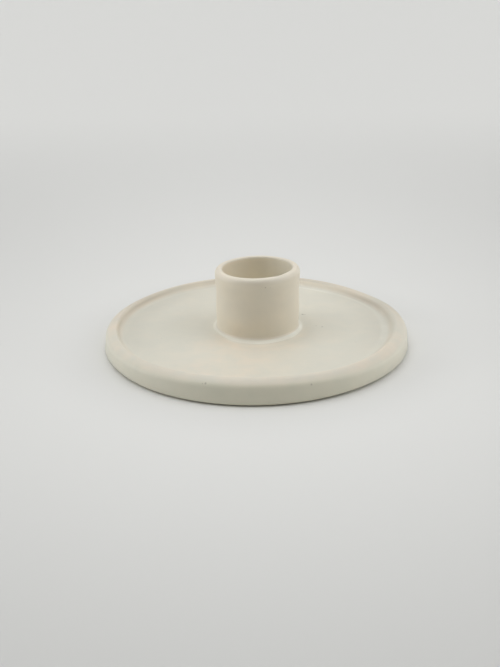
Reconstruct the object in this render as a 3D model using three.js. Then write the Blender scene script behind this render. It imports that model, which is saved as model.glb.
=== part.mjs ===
// Hand-built ceramic candle holder: a round slab with a half-round coil luted
// along its edge makes a shallow drip dish, and an open tube luted on the
// middle of the slab holds the candle. A bead of slip fills the corner at the
// foot of the tube. Millimetres, +Z up, origin on the table under the axis.
import * as THREE from "three";

// Driving dimensions
const SEGMENTS = 64; // facets round the axis

const FOOT_INNER_R = 40.5; // inside of the standing ring
const FOOT_OUTER_R = 48.5; // outside of the standing ring
const UNDER_RECESS = 0.75; // hollow under the floor, so the dish can't rock
const WALL_R = 50.0; // widest radius, just above the table
const WALL_LOW_Z = 1.4; // where the rounded lower edge meets the wall
const FLOOR_Z = 5.0; // upper face of the slab, the floor of the dish
const SEAT_R = 11.2; // the part of the floor that the candle's end stands on

const RIM_JOINT_R = 49.785; // where the coil starts on the slab's edge
const RIM_CREST_R = 46.55;
const RIM_CREST_Z = 7.04;
const RIM_INNER_R = 43.4; // where the coil feathers out on the floor

const CUP_OUTER_R = 13.55;
const CUP_BELLY = 0.13; // the tube swells a little half-way up
const CUP_BORE_R = 11.5; // takes a 22 mm dinner candle
const CUP_TOP_Z = 25.6;
const LIP_START_Z = 18.5; // where the tube starts to flare to its lip
const LIP_WIDE_R = 13.93; // widest part of the lip
const LIP_WIDE_Z = 23.8;
const LIP_OUT_R = 12.6; // the flat on top of the lip, outside and inside
const LIP_IN_R = 11.95;
const LIP_IN_ROUND = 0.58; // height of the rounding into the bore

const BEAD_OUTER_R = 14.9;
const BEAD_TOP_Z = 6.1; // how far the slip climbs the tube

// Profile helpers: every profile runs counter-clockwise in the (r, z) plane,
// so that the turned surface faces outwards.
const v2 = (r, z) => new THREE.Vector2(r, z);
const path = (pairs) => pairs.map(([r, z]) => v2(r, z));

function ellipse(cr, cz, a, b, fromDeg, toDeg, steps) {
  const points = [];
  for (let i = 0; i <= steps; i++) {
    const t = THREE.MathUtils.degToRad(
      fromDeg + ((toDeg - fromDeg) * i) / steps,
    );
    points.push(v2(cr + a * Math.cos(t), cz + b * Math.sin(t)));
  }
  return points;
}

function turned(name, profile, material) {
  const geometry = new THREE.LatheGeometry(profile, SEGMENTS);
  geometry.rotateX(Math.PI / 2);
  const mesh = new THREE.Mesh(geometry, material);
  mesh.name = name;
  return mesh;
}

// Round slab: shallow hollow underneath, standing ring, rounded lower edge,
// nearly upright wall, flat floor.
const slabProfile = path([
  [0, UNDER_RECESS],
  [FOOT_INNER_R - 1.4, UNDER_RECESS],
  [FOOT_INNER_R, 0],
  [FOOT_OUTER_R, 0],
  [49.05, 0.2],
  [49.62, 0.48],
  [49.93, 0.78],
  [WALL_R, WALL_LOW_Z],
  [WALL_R, 2.4],
  [49.94, 4.15],
  [49.86, 4.75],
  [RIM_JOINT_R, FLOOR_Z],
  [SEAT_R, FLOOR_Z],
  [0, FLOOR_Z],
]);

// Half-round coil on the slab's edge: it carries the wall on over a soft
// shoulder to the crest, and falls more steeply to the floor inside.
const coilProfile = path([
  [RIM_INNER_R, FLOOR_Z],
  [RIM_JOINT_R, FLOOR_Z],
  [49.7, 5.22],
  [49.42, 5.63],
  [49.02, 6.01],
  [48.5, 6.35],
  [47.9, 6.65],
  [47.2, 6.91],
  [RIM_CREST_R, RIM_CREST_Z],
  [45.9, 6.8],
  [45.4, 6.3],
  [44.95, 5.68],
  [44.37, 5.25],
  [RIM_INNER_R, FLOOR_Z],
]);

// Open tube: faint belly, gentle flare, soft lip with a crisper inner edge.
const cupProfile = [
  v2(CUP_BORE_R, FLOOR_Z),
  v2(CUP_OUTER_R, FLOOR_Z),
  v2(CUP_OUTER_R, BEAD_TOP_Z),
  v2(CUP_OUTER_R + CUP_BELLY, (BEAD_TOP_Z + LIP_START_Z) / 2),
  v2(CUP_OUTER_R, LIP_START_Z),
  v2(CUP_OUTER_R + 0.17, LIP_START_Z + 2.2),
  ...ellipse(
    LIP_OUT_R,
    LIP_WIDE_Z,
    LIP_WIDE_R - LIP_OUT_R,
    CUP_TOP_Z - LIP_WIDE_Z,
    0,
    90,
    6,
  ),
  ...ellipse(
    LIP_IN_R,
    CUP_TOP_Z - LIP_IN_ROUND,
    LIP_IN_R - CUP_BORE_R,
    LIP_IN_ROUND,
    90,
    180,
    4,
  ),
  v2(CUP_BORE_R, FLOOR_Z),
];

// Bead of slip in the corner between tube and slab.
const beadProfile = path([
  [CUP_OUTER_R, FLOOR_Z],
  [BEAD_OUTER_R, FLOOR_Z],
  [14.45, 5.1],
  [14.05, 5.34],
  [13.77, 5.7],
  [CUP_OUTER_R, BEAD_TOP_Z],
  [CUP_OUTER_R, FLOOR_Z],
]);

// Satin off-white glaze over a light stoneware body
const glaze = (color, roughness) =>
  new THREE.MeshStandardMaterial({ color, roughness, metalness: 0 });

const holder = new THREE.Group();
holder.add(
  turned("base_slab", slabProfile, glaze(0xd6d3c4, 0.5)),
  turned("rim_coil", coilProfile, glaze(0xd9d1bf, 0.5)),
  turned("candle_cup", cupProfile, glaze(0xd5cbb6, 0.5)),
  turned("cup_luting_bead", beadProfile, glaze(0xdcd8c8, 0.45)),
);

export default holder;
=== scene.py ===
import math

import bpy
import numpy as np
from mathutils import Matrix, Vector


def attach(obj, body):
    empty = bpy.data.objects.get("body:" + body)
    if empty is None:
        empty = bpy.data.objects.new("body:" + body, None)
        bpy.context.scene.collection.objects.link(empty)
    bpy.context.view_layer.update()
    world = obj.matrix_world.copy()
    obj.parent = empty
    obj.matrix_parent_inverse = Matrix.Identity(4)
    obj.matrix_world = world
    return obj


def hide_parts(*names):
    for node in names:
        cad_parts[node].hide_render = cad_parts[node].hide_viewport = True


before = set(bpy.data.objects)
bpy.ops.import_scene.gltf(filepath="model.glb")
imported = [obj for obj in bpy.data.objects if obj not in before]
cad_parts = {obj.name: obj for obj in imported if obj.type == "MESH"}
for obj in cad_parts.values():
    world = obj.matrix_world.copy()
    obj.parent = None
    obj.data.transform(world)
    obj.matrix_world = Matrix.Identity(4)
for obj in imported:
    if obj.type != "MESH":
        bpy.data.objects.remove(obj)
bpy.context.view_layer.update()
scene = bpy.context.scene
MM = 0.001

# ---------------------------------------------------------------- sizes (mm)
FOOT_INNER_R, FOOT_OUTER_R, UNDER_RECESS = 40.5, 48.5, 0.75
WALL_R, WALL_Z, FLOOR_Z = 50.0, 1.4, 5.0
CREST_R, CREST_Z, RIM_INNER_R = 46.55, 7.04, 42.7
CUP_R, CUP_BELLY, BORE_R, CUP_TOP = 13.55, 0.13, 11.47, 25.52
LIP_R, LIP_OUT_R, LIP_IN_R, LIP_Z, LIP_START = 13.93, 12.6, 11.95, 23.79, 18.5
BEAD_R, BEAD_TOP = 14.8, 6.1
CUP_SHIFT, CUP_LEAN, FLOOR_SHIFT = 0.55, 0.36, -0.4
SEG = 384


# ------------------------------------------------------------ profile helpers
def line(a, b, step):
    n = max(1, int(math.ceil(math.dist(a, b) / step)))
    return [(a[0] + (b[0] - a[0]) * i / n, a[1] + (b[1] - a[1]) * i / n) for i in range(n + 1)]


def arc(cr, cz, a, b, d0, d1, step):
    n = max(2, int(math.ceil(abs(math.radians(d1 - d0)) * max(a, b) / step)))
    return [(cr + a * math.cos(math.radians(d0 + (d1 - d0) * i / n)),
             cz + b * math.sin(math.radians(d0 + (d1 - d0) * i / n))) for i in range(n + 1)]


def curve(points, step, start=None, end=None):
    """A smooth curve through the points, as cubic pieces; start and end are its directions at the two ends."""
    p = np.array(points, float)
    d = np.linalg.norm(np.diff(p, axis=0), axis=1)
    m = np.zeros_like(p)
    for i in range(1, len(p) - 1):
        a, b = (p[i] - p[i - 1]) / d[i - 1], (p[i + 1] - p[i]) / d[i]
        m[i] = (a * d[i] + b * d[i - 1]) / (d[i] + d[i - 1])
    m[0] = (p[1] - p[0]) / d[0] if start is None else np.array(start, float) / np.linalg.norm(start)
    m[-1] = (p[-1] - p[-2]) / d[-1] if end is None else np.array(end, float) / np.linalg.norm(end)
    out = [tuple(p[0])]
    for i in range(len(p) - 1):
        n = max(2, int(math.ceil(d[i] / step)))
        for k in range(1, n + 1):
            t = k / n
            h = (2 * t**3 - 3 * t**2 + 1, t**3 - 2 * t**2 + t, -2 * t**3 + 3 * t**2, t**3 - t**2)
            out.append(tuple(h[0] * p[i] + h[1] * d[i] * m[i] + h[2] * p[i + 1] + h[3] * d[i] * m[i + 1]))
    return out


def join(*parts):
    out = list(parts[0])
    for p in parts[1:]:
        out += list(p)[1:] if math.dist(out[-1], p[0]) < 1e-6 else list(p)
    return out


def smooth(a, b, x):
    t = np.clip((x - a) / (b - a), 0.0, 1.0)
    return t * t * (3 - 2 * t)


# ---------------------------------------------------- the hand-made unevenness
def waves(th, terms):
    return sum(a * np.cos(k * th + p) for k, a, p in terms)


def bump(th, degrees, width):
    """1 at one bearing, falling away on both sides of it."""
    d = np.degrees(np.arctan2(np.sin(th - math.radians(degrees)), np.cos(th - math.radians(degrees))))
    return np.exp(-((d / width) ** 2))


def uneven(r, th, z, cup):
    """Moves points of the true turned shape, in mm, the way soft clay moves: all pieces share it, so their seams stay closed."""
    dish = (r / 50.0) ** 2
    dr = dish * waves(th, [(1, 0.58, math.pi / 2), (2, 0.045, 0.7), (3, 0.035, 2.1), (5, 0.022, 4.0), (8, 0.012, 1.1)])
    dr = dr + dish * (0.3 * bump(th, 19, 14) - 0.3 * bump(th, 41, 17) - 0.48 * bump(th, -168, 26) - 0.4 * bump(th, -20, 32) - 0.1 * bump(th, -55, 20))
    # the lower edge is less rounded at the two sides, and more so at the front corners
    dr = dr + (0.55 * bump(th, -4, 22) + 0.85 * bump(th, 184, 22) - 0.5 * bump(th, -52, 20) - 0.5 * bump(th, -148, 16)) * (1.0 - smooth(0.1, 1.5, z)) * smooth(45.0, 48.4, r)
    up = smooth(1.6, 5.2, z) * smooth(30.0, 46.0, r)
    dz = up * waves(th, [(2, 0.04, 3.6), (3, 0.035, 0.4), (5, 0.02, 5.2), (7, 0.012, 2.5)])
    # the ring stands a little higher at the front than at the back
    dz = dz + (0.74 * bump(th, -90, 36) - 0.16 * bump(th, 32, 10) + 0.15 * bump(th, 60, 20) - 0.18 * bump(th, 146, 15) + 0.04 * bump(th, 115, 15) - 0.07) * smooth(3.6, 6.0, z) * smooth(43.5, 46.0, r)
    if not cup:
        x, y = r * np.cos(th), r * np.sin(th)
        floor = smooth(3.0, 5.0, z) * (1.0 - smooth(15.5, 19.0, np.abs(r - 31.0)))
        dz = dz + floor * (0.035 * np.sin(0.11 * x + 0.9) * np.cos(0.13 * y + 0.4) + 0.02 * np.sin(0.31 * r + 0.8 * np.cos(th + 1.0)))
    # the slip at the tube's foot spread widest at the front, and least at the front left
    spread = 0.9 * bump(th, -90, 31) - 0.62 * bump(th, -140, 27) + 0.35 * bump(th, -120, 13) + 0.4 * bump(th, -45, 15) - 0.3 * bump(th, 190, 20)
    dr = dr + spread * smooth(13.7, 14.95, r) * (1.0 - smooth(15.2, 21.0, r)) * smooth(3.0, 5.0, z) * (1.0 - smooth(5.3, 6.0, z))
    h = smooth(6.5, 24.0, z) if cup else 0.0
    if cup:
        dr = dr + 0.05 * waves(th, [(2, 0.8, 1.9), (3, 0.5, 0.2)]) * (0.3 + 0.7 * h) - 0.16 * bump(th, 14, 28) * smooth(20.0, 24.5, z)
        dz = dz + h * waves(th, [(1, 0.36, 0.0), (1, 0.12, math.pi / 2), (2, 0.05, 0.9), (3, 0.035, 2.2), (5, 0.02, 4.4)]) - h * (0.2 * bump(th, -56, 13) + 0.07 * bump(th, -140, 18))
    rr = r + dr
    x, y, zz = rr * np.cos(th), rr * np.sin(th), z + dz
    # the tube was set down by eye: a little to the right of the middle, and leaning a little
    near = 1.0 - smooth(16.5, 30.0, r)
    x = x + near * smooth(3.0, 5.0, z) * CUP_SHIFT
    # the ring is a little wider on the right than on the left, so the floor inside it sits off the middle
    x = x + smooth(30.0, 43.0, r) * (1.0 - smooth(44.8, 46.6, r)) * smooth(3.0, 5.0, z) * FLOOR_SHIFT
    if cup:
        x, zz = x + math.radians(CUP_LEAN) * (z - FLOOR_Z), zz - math.radians(CUP_LEAN) * (x - CUP_SHIFT) * h
    return np.stack([x, y, zz], -1)


# --------------------------------------------------------------- mesh builder
def turned(name, profile, closed, materials, rules, bare=None, sharp=(), seg=SEG, cup=False):
    """Turns a profile of (r, z) rows about the axis. An open profile starts and ends on the axis; a closed one is a ring.
    rules gives each point's warm, pool and tone from its place before it was moved."""
    rows = [(float(a), float(b)) for a, b in profile]
    th = np.arange(seg) * (2 * math.pi / seg)
    verts, first, row_of, angle = [], [], [], []
    for i, (r, z) in enumerate(rows):
        first.append(len(row_of))
        if r < 1e-6:
            p = uneven(np.array([0.0]), np.array([0.0]), np.array([z]), cup)
            row_of.append(i)
            angle.append(np.zeros(1))
        else:
            p = uneven(np.full(seg, r), th, np.full(seg, z), cup)
            row_of += [i] * seg
            angle.append(th)
        verts.append(p)
    co = np.concatenate(verts) * MM
    angle = np.concatenate(angle)
    faces, face_row = [], []
    n = len(rows)
    for i in range(n if closed else n - 1):
        j = (i + 1) % n
        a, b = first[i], first[j]
        pole_a, pole_b = rows[i][0] < 1e-6, rows[j][0] < 1e-6
        for k in range(seg):
            l = (k + 1) % seg
            if pole_a:
                faces.append((a, b + l, b + k))
            elif pole_b:
                faces.append((a + k, a + l, b))
            else:
                faces.append((a + k, a + l, b + l, b + k))
            face_row.append(i)
    mesh = bpy.data.meshes.new(name)
    mesh.from_pydata(co.tolist(), [], faces)
    mesh.update()
    for m in materials:
        mesh.materials.append(m)
    rz = np.array([rows[i] for i in row_of])
    for label, value in rules(rz[:, 0], rz[:, 1], angle).items():
        layer = mesh.attributes.new(label, "FLOAT", "POINT")
        layer.data.foreach_set("value", (value + 0 * angle).astype(np.float32))
    mesh.polygons.foreach_set("use_smooth", np.ones(len(faces), bool))
    if bare is not None:
        rows_a = np.array(rows)
        mid = np.array([(rows_a[i] + rows_a[(i + 1) % n]) / 2 for i in face_row])
        mesh.polygons.foreach_set("material_index", bare(mid[:, 0], mid[:, 1]).astype(np.int32))
    if sharp:
        ends = np.zeros(len(mesh.edges) * 2, np.int32)
        mesh.edges.foreach_get("vertices", ends)
        er = np.array(row_of)[ends.reshape(-1, 2)]
        hard = np.isin(er[:, 0], list(sharp)) & (er[:, 0] == er[:, 1])
        layer = mesh.attributes.new("sharp_edge", "BOOLEAN", "EDGE")
        layer.data.foreach_set("value", hard)
    mesh.update()
    obj = bpy.data.objects.new(name, mesh)
    scene.collection.objects.link(obj)
    return obj


def row_at(profile, point):
    return min(range(len(profile)), key=lambda i: math.dist(profile[i], point))


# ------------------------------------------------------------------ materials
class Nodes:
    """Short hands for making a node tree."""

    def __init__(self, material):
        material.use_nodes = True
        self.tree = material.node_tree
        self.tree.nodes.clear()

    def add(self, kind, **settings):
        n = self.tree.nodes.new(kind)
        for k, v in settings.items():
            setattr(n, k, v)
        return n

    def put(self, value, socket):
        if isinstance(value, bpy.types.NodeSocket):
            self.tree.links.new(value, socket)
        else:
            socket.default_value = value

    def math(self, operation, a, b=0.0, clamp=False):
        n = self.add("ShaderNodeMath", operation=operation, use_clamp=clamp)
        self.put(a, n.inputs[0])
        self.put(b, n.inputs[1])
        return n.outputs[0]

    def mix(self, factor, a, b, blend="MIX"):
        n = self.add("ShaderNodeMix", data_type="RGBA", blend_type=blend, clamp_factor=True)
        self.put(factor, n.inputs[0])
        self.put(a if isinstance(a, bpy.types.NodeSocket) else (*a, 1.0), n.inputs[6])
        self.put(b if isinstance(b, bpy.types.NodeSocket) else (*b, 1.0), n.inputs[7])
        return n.outputs[2]

    def span(self, value, a, b, c=0.0, d=1.0, soft=True):
        n = self.add("ShaderNodeMapRange", interpolation_type="SMOOTHSTEP" if soft else "LINEAR", clamp=True)
        for v, i in ((value, 0), (a, 1), (b, 2), (c, 3), (d, 4)):
            self.put(v, n.inputs[i])
        return n.outputs[0]

    def noise(self, where, scale, detail=2.0, rough=0.5, offset=(0, 0, 0)):
        m = self.add("ShaderNodeMapping")
        m.inputs["Location"].default_value = offset
        self.put(where, m.inputs["Vector"])
        n = self.add("ShaderNodeTexNoise", noise_dimensions="3D")
        n.inputs["Scale"].default_value = scale
        n.inputs["Detail"].default_value = detail
        n.inputs["Roughness"].default_value = rough
        self.put(m.outputs[0], n.inputs["Vector"])
        return n.outputs[0]

    def cells(self, where, scale, offset=(0, 0, 0)):
        m = self.add("ShaderNodeMapping")
        m.inputs["Location"].default_value = offset
        self.put(where, m.inputs["Vector"])
        n = self.add("ShaderNodeTexVoronoi", voronoi_dimensions="3D", feature="F1")
        n.inputs["Scale"].default_value = scale
        self.put(m.outputs[0], n.inputs["Vector"])
        return n.outputs["Distance"], n.outputs["Color"]

    def attribute(self, name):
        return self.add("ShaderNodeAttribute", attribute_type="GEOMETRY", attribute_name=name).outputs["Fac"]


# glaze colours: over the dish, where it is thin, where it pools, where it breaks over an edge (there partly painted
# shade), and down the wall
COOL, WARM, THICK, EDGE = (0.774, 0.755, 0.652), (0.852, 0.763, 0.628), (0.90, 0.885, 0.785), (0.71, 0.635, 0.52)
STRAW = (0.775, 0.752, 0.602)
# Dark specks seen on the piece, as places on its surface in mm and their radii
SPECKS = [
    ((-14.5, -47.5, 6.3), 0.32, 0.45), ((-15.4, -47.4, 6.2), 0.22, 0.25), ((15.5, -47.7, 5.65), 0.3, 0.32), ((16.0, 10.2, 5.0), 0.42, 0.5),
    ((16.8, 10.1, 5.0), 0.26, 0.36), ((21.9, -1.75, 5.0), 0.36, 0.36), ((3.1, -13.75, 23.1), 0.24, 0.28), ((1.9, -13.75, 23.4), 0.2, 0.1),
    ((4.6, -13.4, 22.9), 0.2, 0.12), ((31.5, -15.2, 5.0), 0.25, 0.18), ((-30.5, -10.0, 5.0), 0.22, 0.14), ((39.5, -27.5, 5.6), 0.2, 0.16),
]


def glaze_material(name, cool, warm, thick, specks=(), vary=1.0):
    """Satin off-white glaze: it turns warm where it is thin over the clay, and whiter where it pools. Some warm and
    white places are painted reflection and painted highlight, and the tone attribute paints light and shade.
    """
    material = bpy.data.materials.new(name)
    t = Nodes(material)
    out = t.add("ShaderNodeOutputMaterial")
    bsdf = t.add("ShaderNodeBsdfPrincipled")
    where = t.add("ShaderNodeTexCoord").outputs["Object"]
    clouds = t.noise(where, 34.0, 2.0, 0.5)
    mottle = t.noise(where, 190.0, 3.0, 0.55, (3, 1, 7))
    grain = t.noise(where, 1500.0, 2.0, 0.6, (5, 2, 1))
    swell = t.noise(where, 260.0, 1.0, 0.5, (1, 8, 4))
    # where the glaze is thin
    patch = t.noise(where, 95.0, 2.0, 0.5, (6, 3, 2))
    drift = t.math("ADD", t.math("MULTIPLY", t.math("SUBTRACT", clouds, 0.5), 0.6 * vary), t.math("MULTIPLY", t.math("SUBTRACT", mottle, 0.5), 1.1 * vary))
    drift = t.math("ADD", drift, t.math("MULTIPLY", t.math("SUBTRACT", patch, 0.5), 0.7 * vary))
    # it varies most where it is thin
    drift = t.math("MULTIPLY", drift, t.math("ADD", t.math("MULTIPLY", t.attribute("warm"), 1.6), 0.3))
    thin = t.math("ADD", t.attribute("warm"), drift, clamp=True)
    colour = t.mix(thin, t.mix(t.attribute("straw"), cool, STRAW), warm)
    pool = t.math("ADD", t.attribute("pool"), t.math("MULTIPLY", t.math("MULTIPLY", t.math("SUBTRACT", mottle, 0.5), 1.2), t.attribute("pool")), clamp=True)
    # brown where the glaze breaks over an edge; on the ring's inner slope it is partly painted shade
    colour = t.mix(t.math("MULTIPLY", t.attribute("edge"), t.span(mottle, 0.25, 0.7, 0.75, 1.0)), colour, EDGE)
    colour = t.mix(pool, colour, thick)
    # slow unevenness of tone, partly random and partly painted light and shade: the tone attribute makes set places
    # lighter or darker
    shade = t.math("MULTIPLY", t.attribute("tone"), t.math("ADD", 0.964, t.math("MULTIPLY", mottle, 0.072)))
    grey = t.add("ShaderNodeCombineColor")
    for i in range(3):
        t.put(shade, grey.inputs[i])
    colour = t.mix(1.0, colour, grey.outputs[0], "MULTIPLY")
    # fine iron specks in the clay that show through
    far, tint = t.cells(where, 150.0, (7, 1, 4))
    pick = t.add("ShaderNodeSeparateColor")
    t.put(tint, pick.inputs[0])
    size = t.span(pick.outputs[1], 0.0, 1.0, 0.010, 0.040, soft=False)
    dot = t.math("MULTIPLY", t.math("LESS_THAN", far, size), t.math("GREATER_THAN", pick.outputs[0], 0.80))
    mark = t.math("MULTIPLY", dot, 0.35)
    for (x, y, z), radius, depth in specks:
        d = t.add("ShaderNodeVectorMath", operation="DISTANCE")
        t.put(where, d.inputs[0])
        d.inputs[1].default_value = (x * MM, y * MM, z * MM)
        mark = t.math("MAXIMUM", mark, t.span(d.outputs["Value"], radius * 0.5 * MM, radius * 1.4 * MM, depth, 0.0))
    colour = t.mix(mark, colour, (0.23, 0.19, 0.15))
    t.put(colour, bsdf.inputs["Base Color"])
    # satin: a little shinier where the glaze is thick, duller where it is thin
    rough = t.math("ADD", t.span(pool, 0.0, 1.0, 0.43, 0.36), t.math("MULTIPLY", t.math("SUBTRACT", mottle, 0.5), 0.12))
    rough = t.math("ADD", rough, t.math("MULTIPLY", thin, 0.04))
    t.put(rough, bsdf.inputs["Roughness"])
    bsdf.inputs["Specular IOR Level"].default_value = 0.5
    fine = t.add("ShaderNodeBump")
    fine.inputs["Strength"].default_value = 0.5
    fine.inputs["Distance"].default_value = 0.000008
    t.put(grain, fine.inputs["Height"])
    wide = t.add("ShaderNodeBump")
    wide.inputs["Strength"].default_value = 0.6
    wide.inputs["Distance"].default_value = 0.00003
    t.put(swell, wide.inputs["Height"])
    t.put(fine.outputs[0], wide.inputs["Normal"])
    t.put(wide.outputs[0], bsdf.inputs["Normal"])
    t.put(bsdf.outputs[0], out.inputs["Surface"])
    return material


def clay_material():
    """Bare fired stoneware on the standing ring."""
    material = bpy.data.materials.new("bare_stoneware")
    t = Nodes(material)
    out = t.add("ShaderNodeOutputMaterial")
    bsdf = t.add("ShaderNodeBsdfPrincipled")
    where = t.add("ShaderNodeTexCoord").outputs["Object"]
    broad = t.noise(where, 60.0, 3.0, 0.6)
    sand = t.noise(where, 1800.0, 2.0, 0.7, (4, 4, 1))
    far, tint = t.cells(where, 420.0, (1, 2, 9))
    colour = t.mix(broad, (0.50, 0.40, 0.29), (0.64, 0.54, 0.42))
    colour = t.mix(t.math("MULTIPLY", sand, 0.35), colour, (0.72, 0.64, 0.53))
    colour = t.mix(t.math("MULTIPLY", t.math("LESS_THAN", far, 0.09), 0.5), colour, (0.20, 0.14, 0.10))
    t.put(colour, bsdf.inputs["Base Color"])
    t.put(t.span(sand, 0.2, 0.8, 0.82, 0.95), bsdf.inputs["Roughness"])
    bump = t.add("ShaderNodeBump")
    bump.inputs["Strength"].default_value = 0.7
    bump.inputs["Distance"].default_value = 0.00004
    t.put(sand, bump.inputs["Height"])
    t.put(bump.outputs[0], bsdf.inputs["Normal"])
    t.put(bsdf.outputs[0], out.inputs["Surface"])
    return material


glaze = glaze_material("satin_glaze", COOL, WARM, THICK, SPECKS)
cup_glaze = glaze_material("satin_glaze_tube", (0.885, 0.845, 0.73), (0.931, 0.84, 0.682), THICK, SPECKS, 0.3)
clay = clay_material()

# --------------------------------------------------------------------- pieces
# outside of the wall and ring, from the widest place up to the crest
OUTSIDE = [(WALL_R, WALL_Z), (50.0, 2.4), (49.98, 3.3), (49.94, 4.15), (49.86, 4.75), (49.7, 5.22), (49.42, 5.63),
           (49.02, 6.01), (48.5, 6.35), (47.9, 6.65), (47.2, 6.91), (CREST_R, CREST_Z)]
outside = curve(OUTSIDE, 0.16, start=(0, 1), end=(-1, 0))
split = min(range(len(outside)), key=lambda i: abs(outside[i][1] - FLOOR_Z))
outside[split] = (outside[split][0], FLOOR_Z)
SPLIT = outside[split]

# the ring is pressed into a shallow groove scored in the slab
SEAT = join(line((RIM_INNER_R, FLOOR_Z), (RIM_INNER_R + 0.45, FLOOR_Z - 0.12), 0.3), line((RIM_INNER_R + 0.45, FLOOR_Z - 0.12), (SPLIT[0] - 0.7, FLOOR_Z - 0.12), 1.2), line((SPLIT[0] - 0.7, FLOOR_Z - 0.12), SPLIT, 0.4))

slab_profile = join(
    line((0, UNDER_RECESS), (FOOT_INNER_R - 2.0, UNDER_RECESS), 1.2),
    curve([(FOOT_INNER_R - 2.0, UNDER_RECESS), (FOOT_INNER_R - 0.8, 0.38), (FOOT_INNER_R, 0.0)], 0.25, start=(1, 0)),
    line((FOOT_INNER_R, 0), (FOOT_OUTER_R, 0), 1.0),
    curve([(FOOT_OUTER_R, 0), (49.05, 0.2), (49.62, 0.48), (49.93, 0.78), (WALL_R, WALL_Z)], 0.12, end=(0, 1)),
    outside[:split + 1],
    SEAT[::-1],
    line((RIM_INNER_R, FLOOR_Z), (BEAD_R, FLOOR_Z), 0.5),
    line((BEAD_R, FLOOR_Z), (BORE_R, FLOOR_Z), 1.0),
    line((BORE_R, FLOOR_Z), (0, FLOOR_Z), 0.8),
)
coil_profile = join(
    SEAT,
    outside[split:],
    curve([(CREST_R, CREST_Z), (45.9, 6.8), (45.4, 6.3), (44.95, 5.68), (44.37, 5.25), (43.6, 5.05), (RIM_INNER_R, FLOOR_Z)], 0.1, start=(-1, 0), end=(-1, 0)),
)[:-1]
cup_profile = join(
    line((BORE_R, FLOOR_Z), (CUP_R, FLOOR_Z), 0.7),
    [(CUP_R + CUP_BELLY * math.sin(math.pi * t / 40) ** 2, FLOOR_Z + (LIP_START - FLOOR_Z) * t / 40) for t in range(41)],
    curve([(CUP_R, LIP_START), (CUP_R + 0.17, LIP_START + 2.2), (LIP_R, LIP_Z)], 0.2, start=(0, 1), end=(0, 1)),
    arc(LIP_OUT_R, LIP_Z, LIP_R - LIP_OUT_R, CUP_TOP - LIP_Z, 0, 90, 0.1),
    line((LIP_OUT_R, CUP_TOP), (LIP_IN_R, CUP_TOP), 0.1),
    arc(LIP_IN_R, CUP_TOP - 0.58, LIP_IN_R - BORE_R, 0.58, 90, 180, 0.06),
    line((BORE_R, CUP_TOP - 0.58), (BORE_R, FLOOR_Z), 0.4),
)[:-1]
BEAD_IN = CUP_R - 0.12
bead_profile = join(
    line((BEAD_IN, FLOOR_Z), (BEAD_R, FLOOR_Z), 0.7),
    curve([(BEAD_R, FLOOR_Z), (14.42, 5.08), (14.02, 5.32), (13.76, 5.68), (13.6, 5.98), (BEAD_IN, BEAD_TOP)], 0.08, start=(-1, 0)),
    line((BEAD_IN, BEAD_TOP), (BEAD_IN, FLOOR_Z), 0.5),
)[:-1]


def seam_pool_and_highlight(th, r):
    """Glaze that ran down the ring's inside and pooled on the floor, with painted highlight where it is strongest, at
    the back right and on the right.
    """
    return (0.5 * bump(th, 57, 13) + 0.4 * bump(th, -8, 15) + 0.05) * smooth(41.2, 42.4, r) * (1.0 - smooth(43.5, 44.7, r))


# blots where the glaze on the floor is a little thinner or thicker: x, y, radius, how much
BLOTS = [(-13.0, -15.5, 6.0, 0.16), (-17.0, -25.0, 6.0, -0.14), (-18.0, -36.0, 8.0, 0.14), (12.5, -13.0, 6.0, 0.18)]


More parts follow.
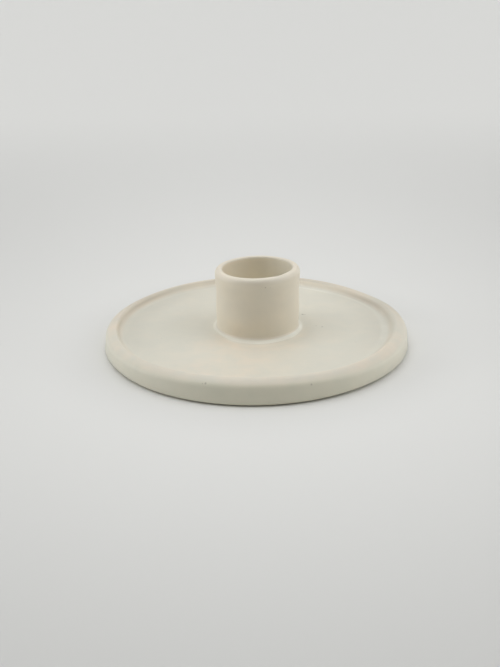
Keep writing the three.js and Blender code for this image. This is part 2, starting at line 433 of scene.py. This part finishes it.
def slab_rules(r, z, th):
    x, y = r * np.cos(th), r * np.sin(th)
    top = (z > 4.9) & (r < 46.0)
    # painted reflection of the tube's warm glaze: a warmer patch on the floor in front of the tube
    front = np.exp(-(((x + 6.0 + 4.0 * smooth(-22.0, -36.0, y)) / 15.5) ** 2)) * smooth(-10.0, -18.0, y)
    by_bead = smooth(14.9, 15.4, r) * (1.0 - smooth(16.0, 19.0, r))
    blots = 0.3 * by_bead * (bump(th, -35, 25) + bump(th, -140, 22)) + sum(k * np.exp(-((x - a) ** 2 + (y - b) ** 2) / c**2) for a, b, c, k in BLOTS)
    warm = np.where(top, 0.05 + 0.5 * front + blots, 0.09 + 0.125 * smooth(1.2, 0.2, z))
    pool = np.where(top, 0.8 * (1 - smooth(14.7, 15.3, r)) + 0.35 * (bump(th, -122, 14) + bump(th, -42, 17)) * (1.0 - smooth(15.3, 16.8, r)) * smooth(14.7, 15.3, r) + seam_pool_and_highlight(th, r), 0.0)
    # painted shade: a band on the floor round the tube's foot, the floor darker towards the ring at the sides and back,
    # and the outer wall darker towards the front left
    painted_shade_round_tube = smooth(15.4, 16.6, r) * (1.0 - smooth(17.5, 20.5, r)) * (1.0 - 0.95 * bump(th, -88, 70))
    tone = np.where(top, 1.0 - 0.06 * smooth(33.0, 42.0, r) * smooth(-30.0, -8.0, y) - 0.03 * painted_shade_round_tube, 1.015 - 0.045 * bump(th, -108, 42))
    # painted light and shade on the floor: lighter in front of the tube, darker beside it, lighter just outside the
    # bead at the front and near the ring at the back corners
    painted_light_and_shade_spots = 0.015 * np.exp(-(((x + 17.0) / 14.0) ** 2) - (((y + 24.0) / 10.0) ** 2)) - 0.03 * np.exp(-(((x + 21.0) / 11.0) ** 2) - (((y - 4.0) / 9.0) ** 2))
    painted_light_and_shade_spots = painted_light_and_shade_spots + 0.025 * np.exp(-(((x - 20.0) / 11.0) ** 2) - (((y + 13.0) / 11.0) ** 2)) - 0.015 * np.exp(-(((x - 25.0) / 12.0) ** 2) - (((y - 9.0) / 8.0) ** 2))
    painted_light_and_shade_spots = painted_light_and_shade_spots + by_bead * (0.085 * bump(th, -88, 32) + 0.06 * bump(th, -38, 22) + 0.02 * bump(th, -140, 22))
    painted_light_and_shade_spots = painted_light_and_shade_spots + (0.09 * bump(th, 61, 10) + 0.05 * bump(th, 116, 8)) * smooth(34.0, 41.0, r)
    # painted light and shade: the floor darker towards the back left and near the ring at the two back corners, the
    # outer wall lighter at the two front corners
    tone = np.where(top, tone + painted_light_and_shade_spots - 0.03 * bump(th, 128, 32) * smooth(15.0, 24.0, r), tone + bump(th, -30, 24) * (0.01 + 0.11 * smooth(1.2, 4.0, z)) + bump(th, -150, 24) * (0.02 + 0.06 * smooth(1.2, 4.0, z)))
    tone = np.where(top, tone - 0.05 * bump(th, 30, 16) * smooth(40.5, 42.6, r) - 0.03 * bump(th, 150, 14) * smooth(33.0, 40.0, r), tone)
    straw = np.where(top, 0.0, 0.15 + 0.7 * bump(th, -85, 50))
    return {"warm": warm, "pool": pool, "tone": tone, "edge": 0 * r, "straw": straw}


def coil_rules(r, z, th):
    inner = r < CREST_R
    warm = np.where(inner, 0.25 + 0.16 * smooth(5.2, 6.2, z), 0.1 + (0.31 + 0.48 * bump(th, 90, 60)) * smooth(5.2, 6.4, z))
    warm = np.where(inner, 0.05 + (warm - 0.05) * smooth(5.0, 5.15, z), warm)
    warm = warm + (0.16 * bump(th, -135, 30) + 0.2 * bump(th, 182, 22) + 0.18 * bump(th, -38, 18) - 0.2 * bump(th, -7, 13)) * smooth(5.6, 6.6, z) - np.where(inner, 0.15 * bump(th, 0, 20), 0.0) + np.where(inner, 0.4 * bump(th, 90, 60) * smooth(6.2, 6.8, z), 0.0)
    pool = np.where(inner, seam_pool_and_highlight(th, r), 0.0)
    # brown of glaze broken over the ring's inner slope, stronger at the two back corners and weaker on the right and at
    # the back: partly the glaze's own colour, partly painted shade on that slope
    side = (0.36 + 0.4 * bump(th, 24, 22) + 0.5 * bump(th, 152, 26)) * (1.0 - 0.75 * bump(th, -2, 18)) * (1.0 - 0.4 * bump(th, 114, 18))
    edge = np.where(inner, smooth(5.0, 5.4, z) * (1 - smooth(6.1, 6.84, z)) * side, 0.0)
    # painted light and shade on the ring: lighter and darker places at set bearings on the inner slope, crest and outer
    # wall, and darker where the inner slope meets the floor, except in front
    tone = 1.0 - (0.12 * bump(th, 148, 16) + 0.11 * bump(th, 27, 17) * (1.0 - 0.5 * smooth(6.3, 6.8, z)) + 0.05 * bump(th, 17, 10) - (0.18 * bump(th, 63, 14) + 0.12 * bump(th, 113, 13)) * (1.0 - smooth(6.3, 6.8, z))) * smooth(5.1, 6.2, z)
    tone = np.where(inner, tone - 0.13 * bump(th, 30, 16) * smooth(4.99, 5.1, z) * (1.0 - smooth(5.7, 6.2, z)), tone)
    tone = np.where(inner, tone + 0.06 * bump(th, 90, 40) * smooth(5.05, 5.3, z) * (1.0 - smooth(6.0, 6.5, z)), tone) - (0.06 * bump(th, 97, 45) + 0.07 * bump(th, 61, 16)) * smooth(6.3, 6.8, z)
    tone = np.where(inner, tone - 0.06 * (1.0 - smooth(5.0, 5.4, z)) * smooth(-30.0, -8.0, r * np.sin(th)), tone)
    tone = np.where(inner, tone, tone + (0.015 - 0.045 * bump(th, -108, 42)) * (1.0 - smooth(5.6, 6.9, z)) + (0.12 * bump(th, -30, 24) + 0.08 * bump(th, -150, 24)) * (1.0 - smooth(5.2, 5.9, z)))
    tone = np.where(inner, tone, tone - 0.06 * bump(th, -85, 40) * smooth(5.8, 6.2, z) * (1.0 - smooth(6.6, 6.95, z)) - 0.045 * bump(th, 90, 62) * smooth(5.6, 6.5, z))
    straw = np.where(inner, 0.0, (0.15 + 0.7 * bump(th, -85, 50)) * (1.0 - smooth(5.8, 6.9, z)) + 0.85 * bump(th, 90, 62) * smooth(5.4, 6.4, z))
    return {"warm": warm, "pool": pool, "tone": tone, "edge": edge, "straw": straw}


def cup_rules(r, z, th):
    inside = (r < 11.6) & (z < 25.25)
    warm = np.where(inside, 0.38 - 0.48 * np.cos(th), 0.56 + 0.3 * bump(th, -118, 16) * (1.0 - smooth(9.0, 13.0, z)))
    flank = bump(th, -40, 26) + 0.6 * bump(th, -140, 26)
    # painted light and shade on the tube: lighter and darker places at set bearings and heights outside; inside, darker
    # at the left and right and lighter high up at the back
    outside_tone = 1.0 - (0.055 * bump(th, -122, 16) + 0.02 * bump(th, -55, 14)) * (1.0 - smooth(7.5, 10.5, z)) + 0.035 * bump(th, -62, 20) * smooth(22.4, 23.4, z) * (1.0 - smooth(24.6, 25.2, z)) - (0.045 * bump(th, -120, 18) + 0.02 * bump(th, -60, 16)) * smooth(12.0, 17.0, z) * (1.0 - smooth(21.0, 23.5, z)) - 0.015 * bump(th, -90, 40) * smooth(23.4, 24.4, z) + 0.015 * bump(th, -18, 24) * (1.0 - smooth(20.0, 23.0, z)) + 0.025 * flank * smooth(15.0, 21.0, z) - (0.045 * np.cos(th) ** 2 - 0.02 * flank) * smooth(24.0, 25.2, z) - 0.06 * smooth(0.1, 0.7, np.sin(th)) * smooth(24.4, 25.2, z)
    inside_tone = 1.055 - np.where(np.cos(th) > 0, 0.13, 0.1) * np.cos(th) ** 2 + 0.09 * bump(th, 90, 60) * smooth(23.6, 24.9, z)
    tone = np.where(inside, inside_tone, outside_tone)
    return {"warm": warm, "pool": 0 * r, "tone": tone, "edge": 0 * r, "straw": 0 * r}


def bead_rules(r, z, th):
    pool = (1.0 - smooth(5.42, 5.82, z + 0.2 * bump(th, -88, 24))) * (1.0 - 0.45 * bump(th, 185, 38)) * (1.0 - 0.25 * bump(th, -125, 25))
    # painted light and shade on the bead: lighter at the front and the front corners, darker on the left
    return {"warm": 0.5 + 0 * r, "pool": pool, "tone": 1.02 + 0.055 * bump(th, -130, 24) + 0.045 * bump(th, -34, 24) + 0.075 * bump(th, -62, 50) + 0.015 * bump(th, -95, 30) + 0.02 * bump(th, -15, 25) - 0.045 * bump(th, 185, 38), "edge": 0 * r, "straw": 0 * r}


dish = turned(
    "dish_slab", slab_profile, False, [glaze, clay], slab_rules,
    bare=lambda r, z: (r > FOOT_INNER_R) & (r < FOOT_OUTER_R + 0.1) & (z < 0.1),
    sharp=[row_at(slab_profile, SPLIT)],
)
rim = turned(
    "rim_ring", coil_profile, True, [glaze], coil_rules,
    sharp=[row_at(coil_profile, (RIM_INNER_R, FLOOR_Z)), row_at(coil_profile, SPLIT)],
)
cup = turned(
    "candle_tube", cup_profile, True, [cup_glaze], cup_rules,
    sharp=[row_at(cup_profile, (BORE_R, FLOOR_Z)), row_at(cup_profile, (CUP_R, FLOOR_Z))], seg=256, cup=True,
)
bead = turned(
    "slip_bead", bead_profile, True, [glaze], bead_rules,
    sharp=[row_at(bead_profile, (BEAD_IN, FLOOR_Z)), row_at(bead_profile, (BEAD_R, FLOOR_Z)), row_at(bead_profile, (BEAD_IN, BEAD_TOP))],
)
for piece, cad in ((dish, "base_slab"), (rim, "rim_coil"), (cup, "candle_cup"), (bead, "cup_luting_bead")):
    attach(piece, "root")
    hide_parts(cad)


# ---------------------------------------------------------------------- stage
def floor_material():
    material = bpy.data.materials.new("studio_floor")
    t = Nodes(material)
    out = t.add("ShaderNodeOutputMaterial")
    bsdf = t.add("ShaderNodeBsdfPrincipled")
    where = t.add("ShaderNodeTexCoord").outputs["Object"]
    part = t.add("ShaderNodeSeparateXYZ")
    t.put(where, part.inputs[0])
    # a pool of light round the object, falling off in front of it and levelling out further away
    across = t.math("POWER", t.math("ABSOLUTE", t.math("DIVIDE", part.outputs[0], 0.139)), 2.0)
    along = t.math("POWER", t.math("ABSOLUTE", t.math("DIVIDE", t.math("ADD", part.outputs[1], 0.024), 0.2524)), 2.0)
    pool = t.math("MULTIPLY", t.math("EXPONENT", t.math("MULTIPLY", t.math("ADD", across, along), -1.0)), 0.2139)
    dim = t.math("MULTIPLY", t.span(part.outputs[1], -0.0288, -0.248, 0.0, 0.2543), t.span(part.outputs[1], -0.2, -0.9, 1.0, 0.0))
    dim = t.math("MULTIPLY", dim, t.span(t.math("ABSOLUTE", part.outputs[0]), 0.09, 0.22, 1.0, 0.0))
    far = t.math("MAXIMUM", t.span(part.outputs[1], 0.0413, 0.5406, 0.6532, 0.7976), t.span(part.outputs[1], -0.1, -1.3, 0.6532, 0.7976, soft=False))
    far = t.math("MAXIMUM", far, t.span(t.math("ABSOLUTE", part.outputs[0]), 0.15, 1.3, 0.6532, 0.7976, soft=False))
    tone = t.math("ADD", t.math("SUBTRACT", pool, dim), far)
    tone = t.math("MAXIMUM", tone, t.span(part.outputs[1], -0.14, -1.3, 0.652, 0.7976, soft=False))
    # painted contact shadow: the floor is darker in a ring round the foot of the dish, less so beside it
    off = t.math("SQRT", t.math("ADD", t.math("POWER", part.outputs[0], 2.0), t.math("POWER", part.outputs[1], 2.0)))
    beside = t.math("ADD", t.span(part.outputs[0], 0.028, 0.046, 0.0, 0.8), t.span(part.outputs[0], -0.028, -0.046, 0.0, 0.4))
    beside = t.math("MULTIPLY", beside, t.span(t.math("ABSOLUTE", part.outputs[1]), 0.006, 0.026, 1.0, 0.0))
    ring = t.math("MULTIPLY", t.span(off, 0.05, 0.075, 0.035, 0.0), t.math("SUBTRACT", 1.0, beside))
    tone = t.math("SUBTRACT", tone, ring)
    tint = t.add("ShaderNodeCombineColor")
    t.put(t.math("MULTIPLY", tone, 0.997), tint.inputs[0])
    t.put(tone, tint.inputs[1])
    t.put(t.math("MULTIPLY", tone, 0.9735), tint.inputs[2])
    t.put(tint.outputs[0], bsdf.inputs["Base Color"])
    bsdf.inputs["Roughness"].default_value = 0.9
    bsdf.inputs["Specular IOR Level"].default_value = 0.2
    t.put(bsdf.outputs[0], out.inputs["Surface"])
    return material


def make_floor(radius=6.0, seg=128):
    rings = [0.12, 0.3, 0.8, 2.0, radius]
    co, faces = [(0, 0, 0)], []
    for r in rings:
        co += [(r * math.cos(2 * math.pi * k / seg), r * math.sin(2 * math.pi * k / seg), 0) for k in range(seg)]
    for k in range(seg):
        faces.append((0, 1 + k, 1 + (k + 1) % seg))
    for i in range(len(rings) - 1):
        a, b = 1 + i * seg, 1 + (i + 1) * seg
        for k in range(seg):
            l = (k + 1) % seg
            faces.append((a + k, b + k, b + l, a + l))
    mesh = bpy.data.meshes.new("studio_floor")
    mesh.from_pydata(co, [], faces)
    mesh.materials.append(floor_material())
    o = bpy.data.objects.new("studio_floor", mesh)
    scene.collection.objects.link(o)
    return o


floor = make_floor()


# ------------------------------------------------------------------- lighting
def soft_sun(name, azimuth, elevation, spread, power, color=(1, 1, 1)):
    """A wide soft source far away. Azimuth 0 is behind the camera, 90 to the right, 180 behind the object."""
    light = bpy.data.lights.new(name, "SUN")
    light.energy, light.angle, light.color = power, math.radians(spread), color
    o = bpy.data.objects.new(name, light)
    a, e = math.radians(azimuth), math.radians(elevation)
    to_light = Vector((math.sin(a) * math.cos(e), -math.cos(a) * math.cos(e), math.sin(e)))
    o.rotation_mode = "QUATERNION"
    o.rotation_quaternion = to_light.to_track_quat("Z", "Y")
    o.location = to_light * 2.0
    scene.collection.objects.link(o)
    return o


# soft light from all round, like a light tent: wide sources in rings by height, stronger at the sides and behind than in front
LIGHT = (
    ("top", 90, 40, {0: 0.305}),
    ("high", 66, 40, {45: 0.066, 90: 0.257, 135: 0.03, 180: 0.279, 225: 0.18, 270: 0.39, 315: 0.091}),
    ("middle", 40, 45, {45: 0.094, 90: 0.506, 180: 0.199, 225: 0.103, 270: 0.206, 315: 0.09}),
    ("low", 14, 40, {45: 0.083, 90: 0.402, 135: 0.34, 180: 0.113, 225: 0.267, 270: 0.711}),
)
for ring, elevation, spread, powers in LIGHT:
    for azimuth, power in powers.items():
        soft_sun("%s_%d" % (ring, azimuth), azimuth, elevation, spread, power)

world = bpy.data.worlds.new("studio")
scene.world = world
world.use_nodes = True
wt = world.node_tree
bg = wt.nodes["Background"]
bg.inputs["Color"].default_value = (0.69, 0.69, 0.675, 1)
seen = wt.nodes.new("ShaderNodeLightPath")
wt.links.new(seen.outputs["Is Camera Ray"], bg.inputs["Strength"])

scene.view_settings.view_transform = "Standard"
scene.view_settings.look = "None"

# --------------------------------------------------------------------- camera
F_PX, DIST, ELEV, PAN, TILT, ROLL, DROP = 900.0, 301.4, 22.37, 0.39, 0.45, 0.73, 0.3


def turn(v, axis, deg):
    return Matrix.Rotation(math.radians(deg), 3, axis) @ v


e = math.radians(ELEV)
at = DIST * Vector((0, -math.cos(e), math.sin(e)))
fwd = -at.normalized()
right = Vector((1, 0, 0))
up = right.cross(fwd)
fwd, right = turn(fwd, up, PAN), turn(right, up, PAN)
fwd, up = turn(fwd, right, TILT), turn(up, right, TILT)
right, up = turn(right, fwd, ROLL), turn(up, fwd, ROLL)
cam_data = bpy.data.cameras.new("camera")
cam_data.sensor_width, cam_data.lens = 36.0, F_PX / 667.0 * 36.0
cam_data.clip_start, cam_data.clip_end = 0.01, 50.0
cam = bpy.data.objects.new("camera", cam_data)
cam.matrix_world = Matrix(((right.x, up.x, -fwd.x, at.x * MM), (right.y, up.y, -fwd.y, at.y * MM),
                           (right.z, up.z, -fwd.z, (at.z - DROP) * MM), (0, 0, 0, 1)))
scene.collection.objects.link(cam)
scene.camera = cam
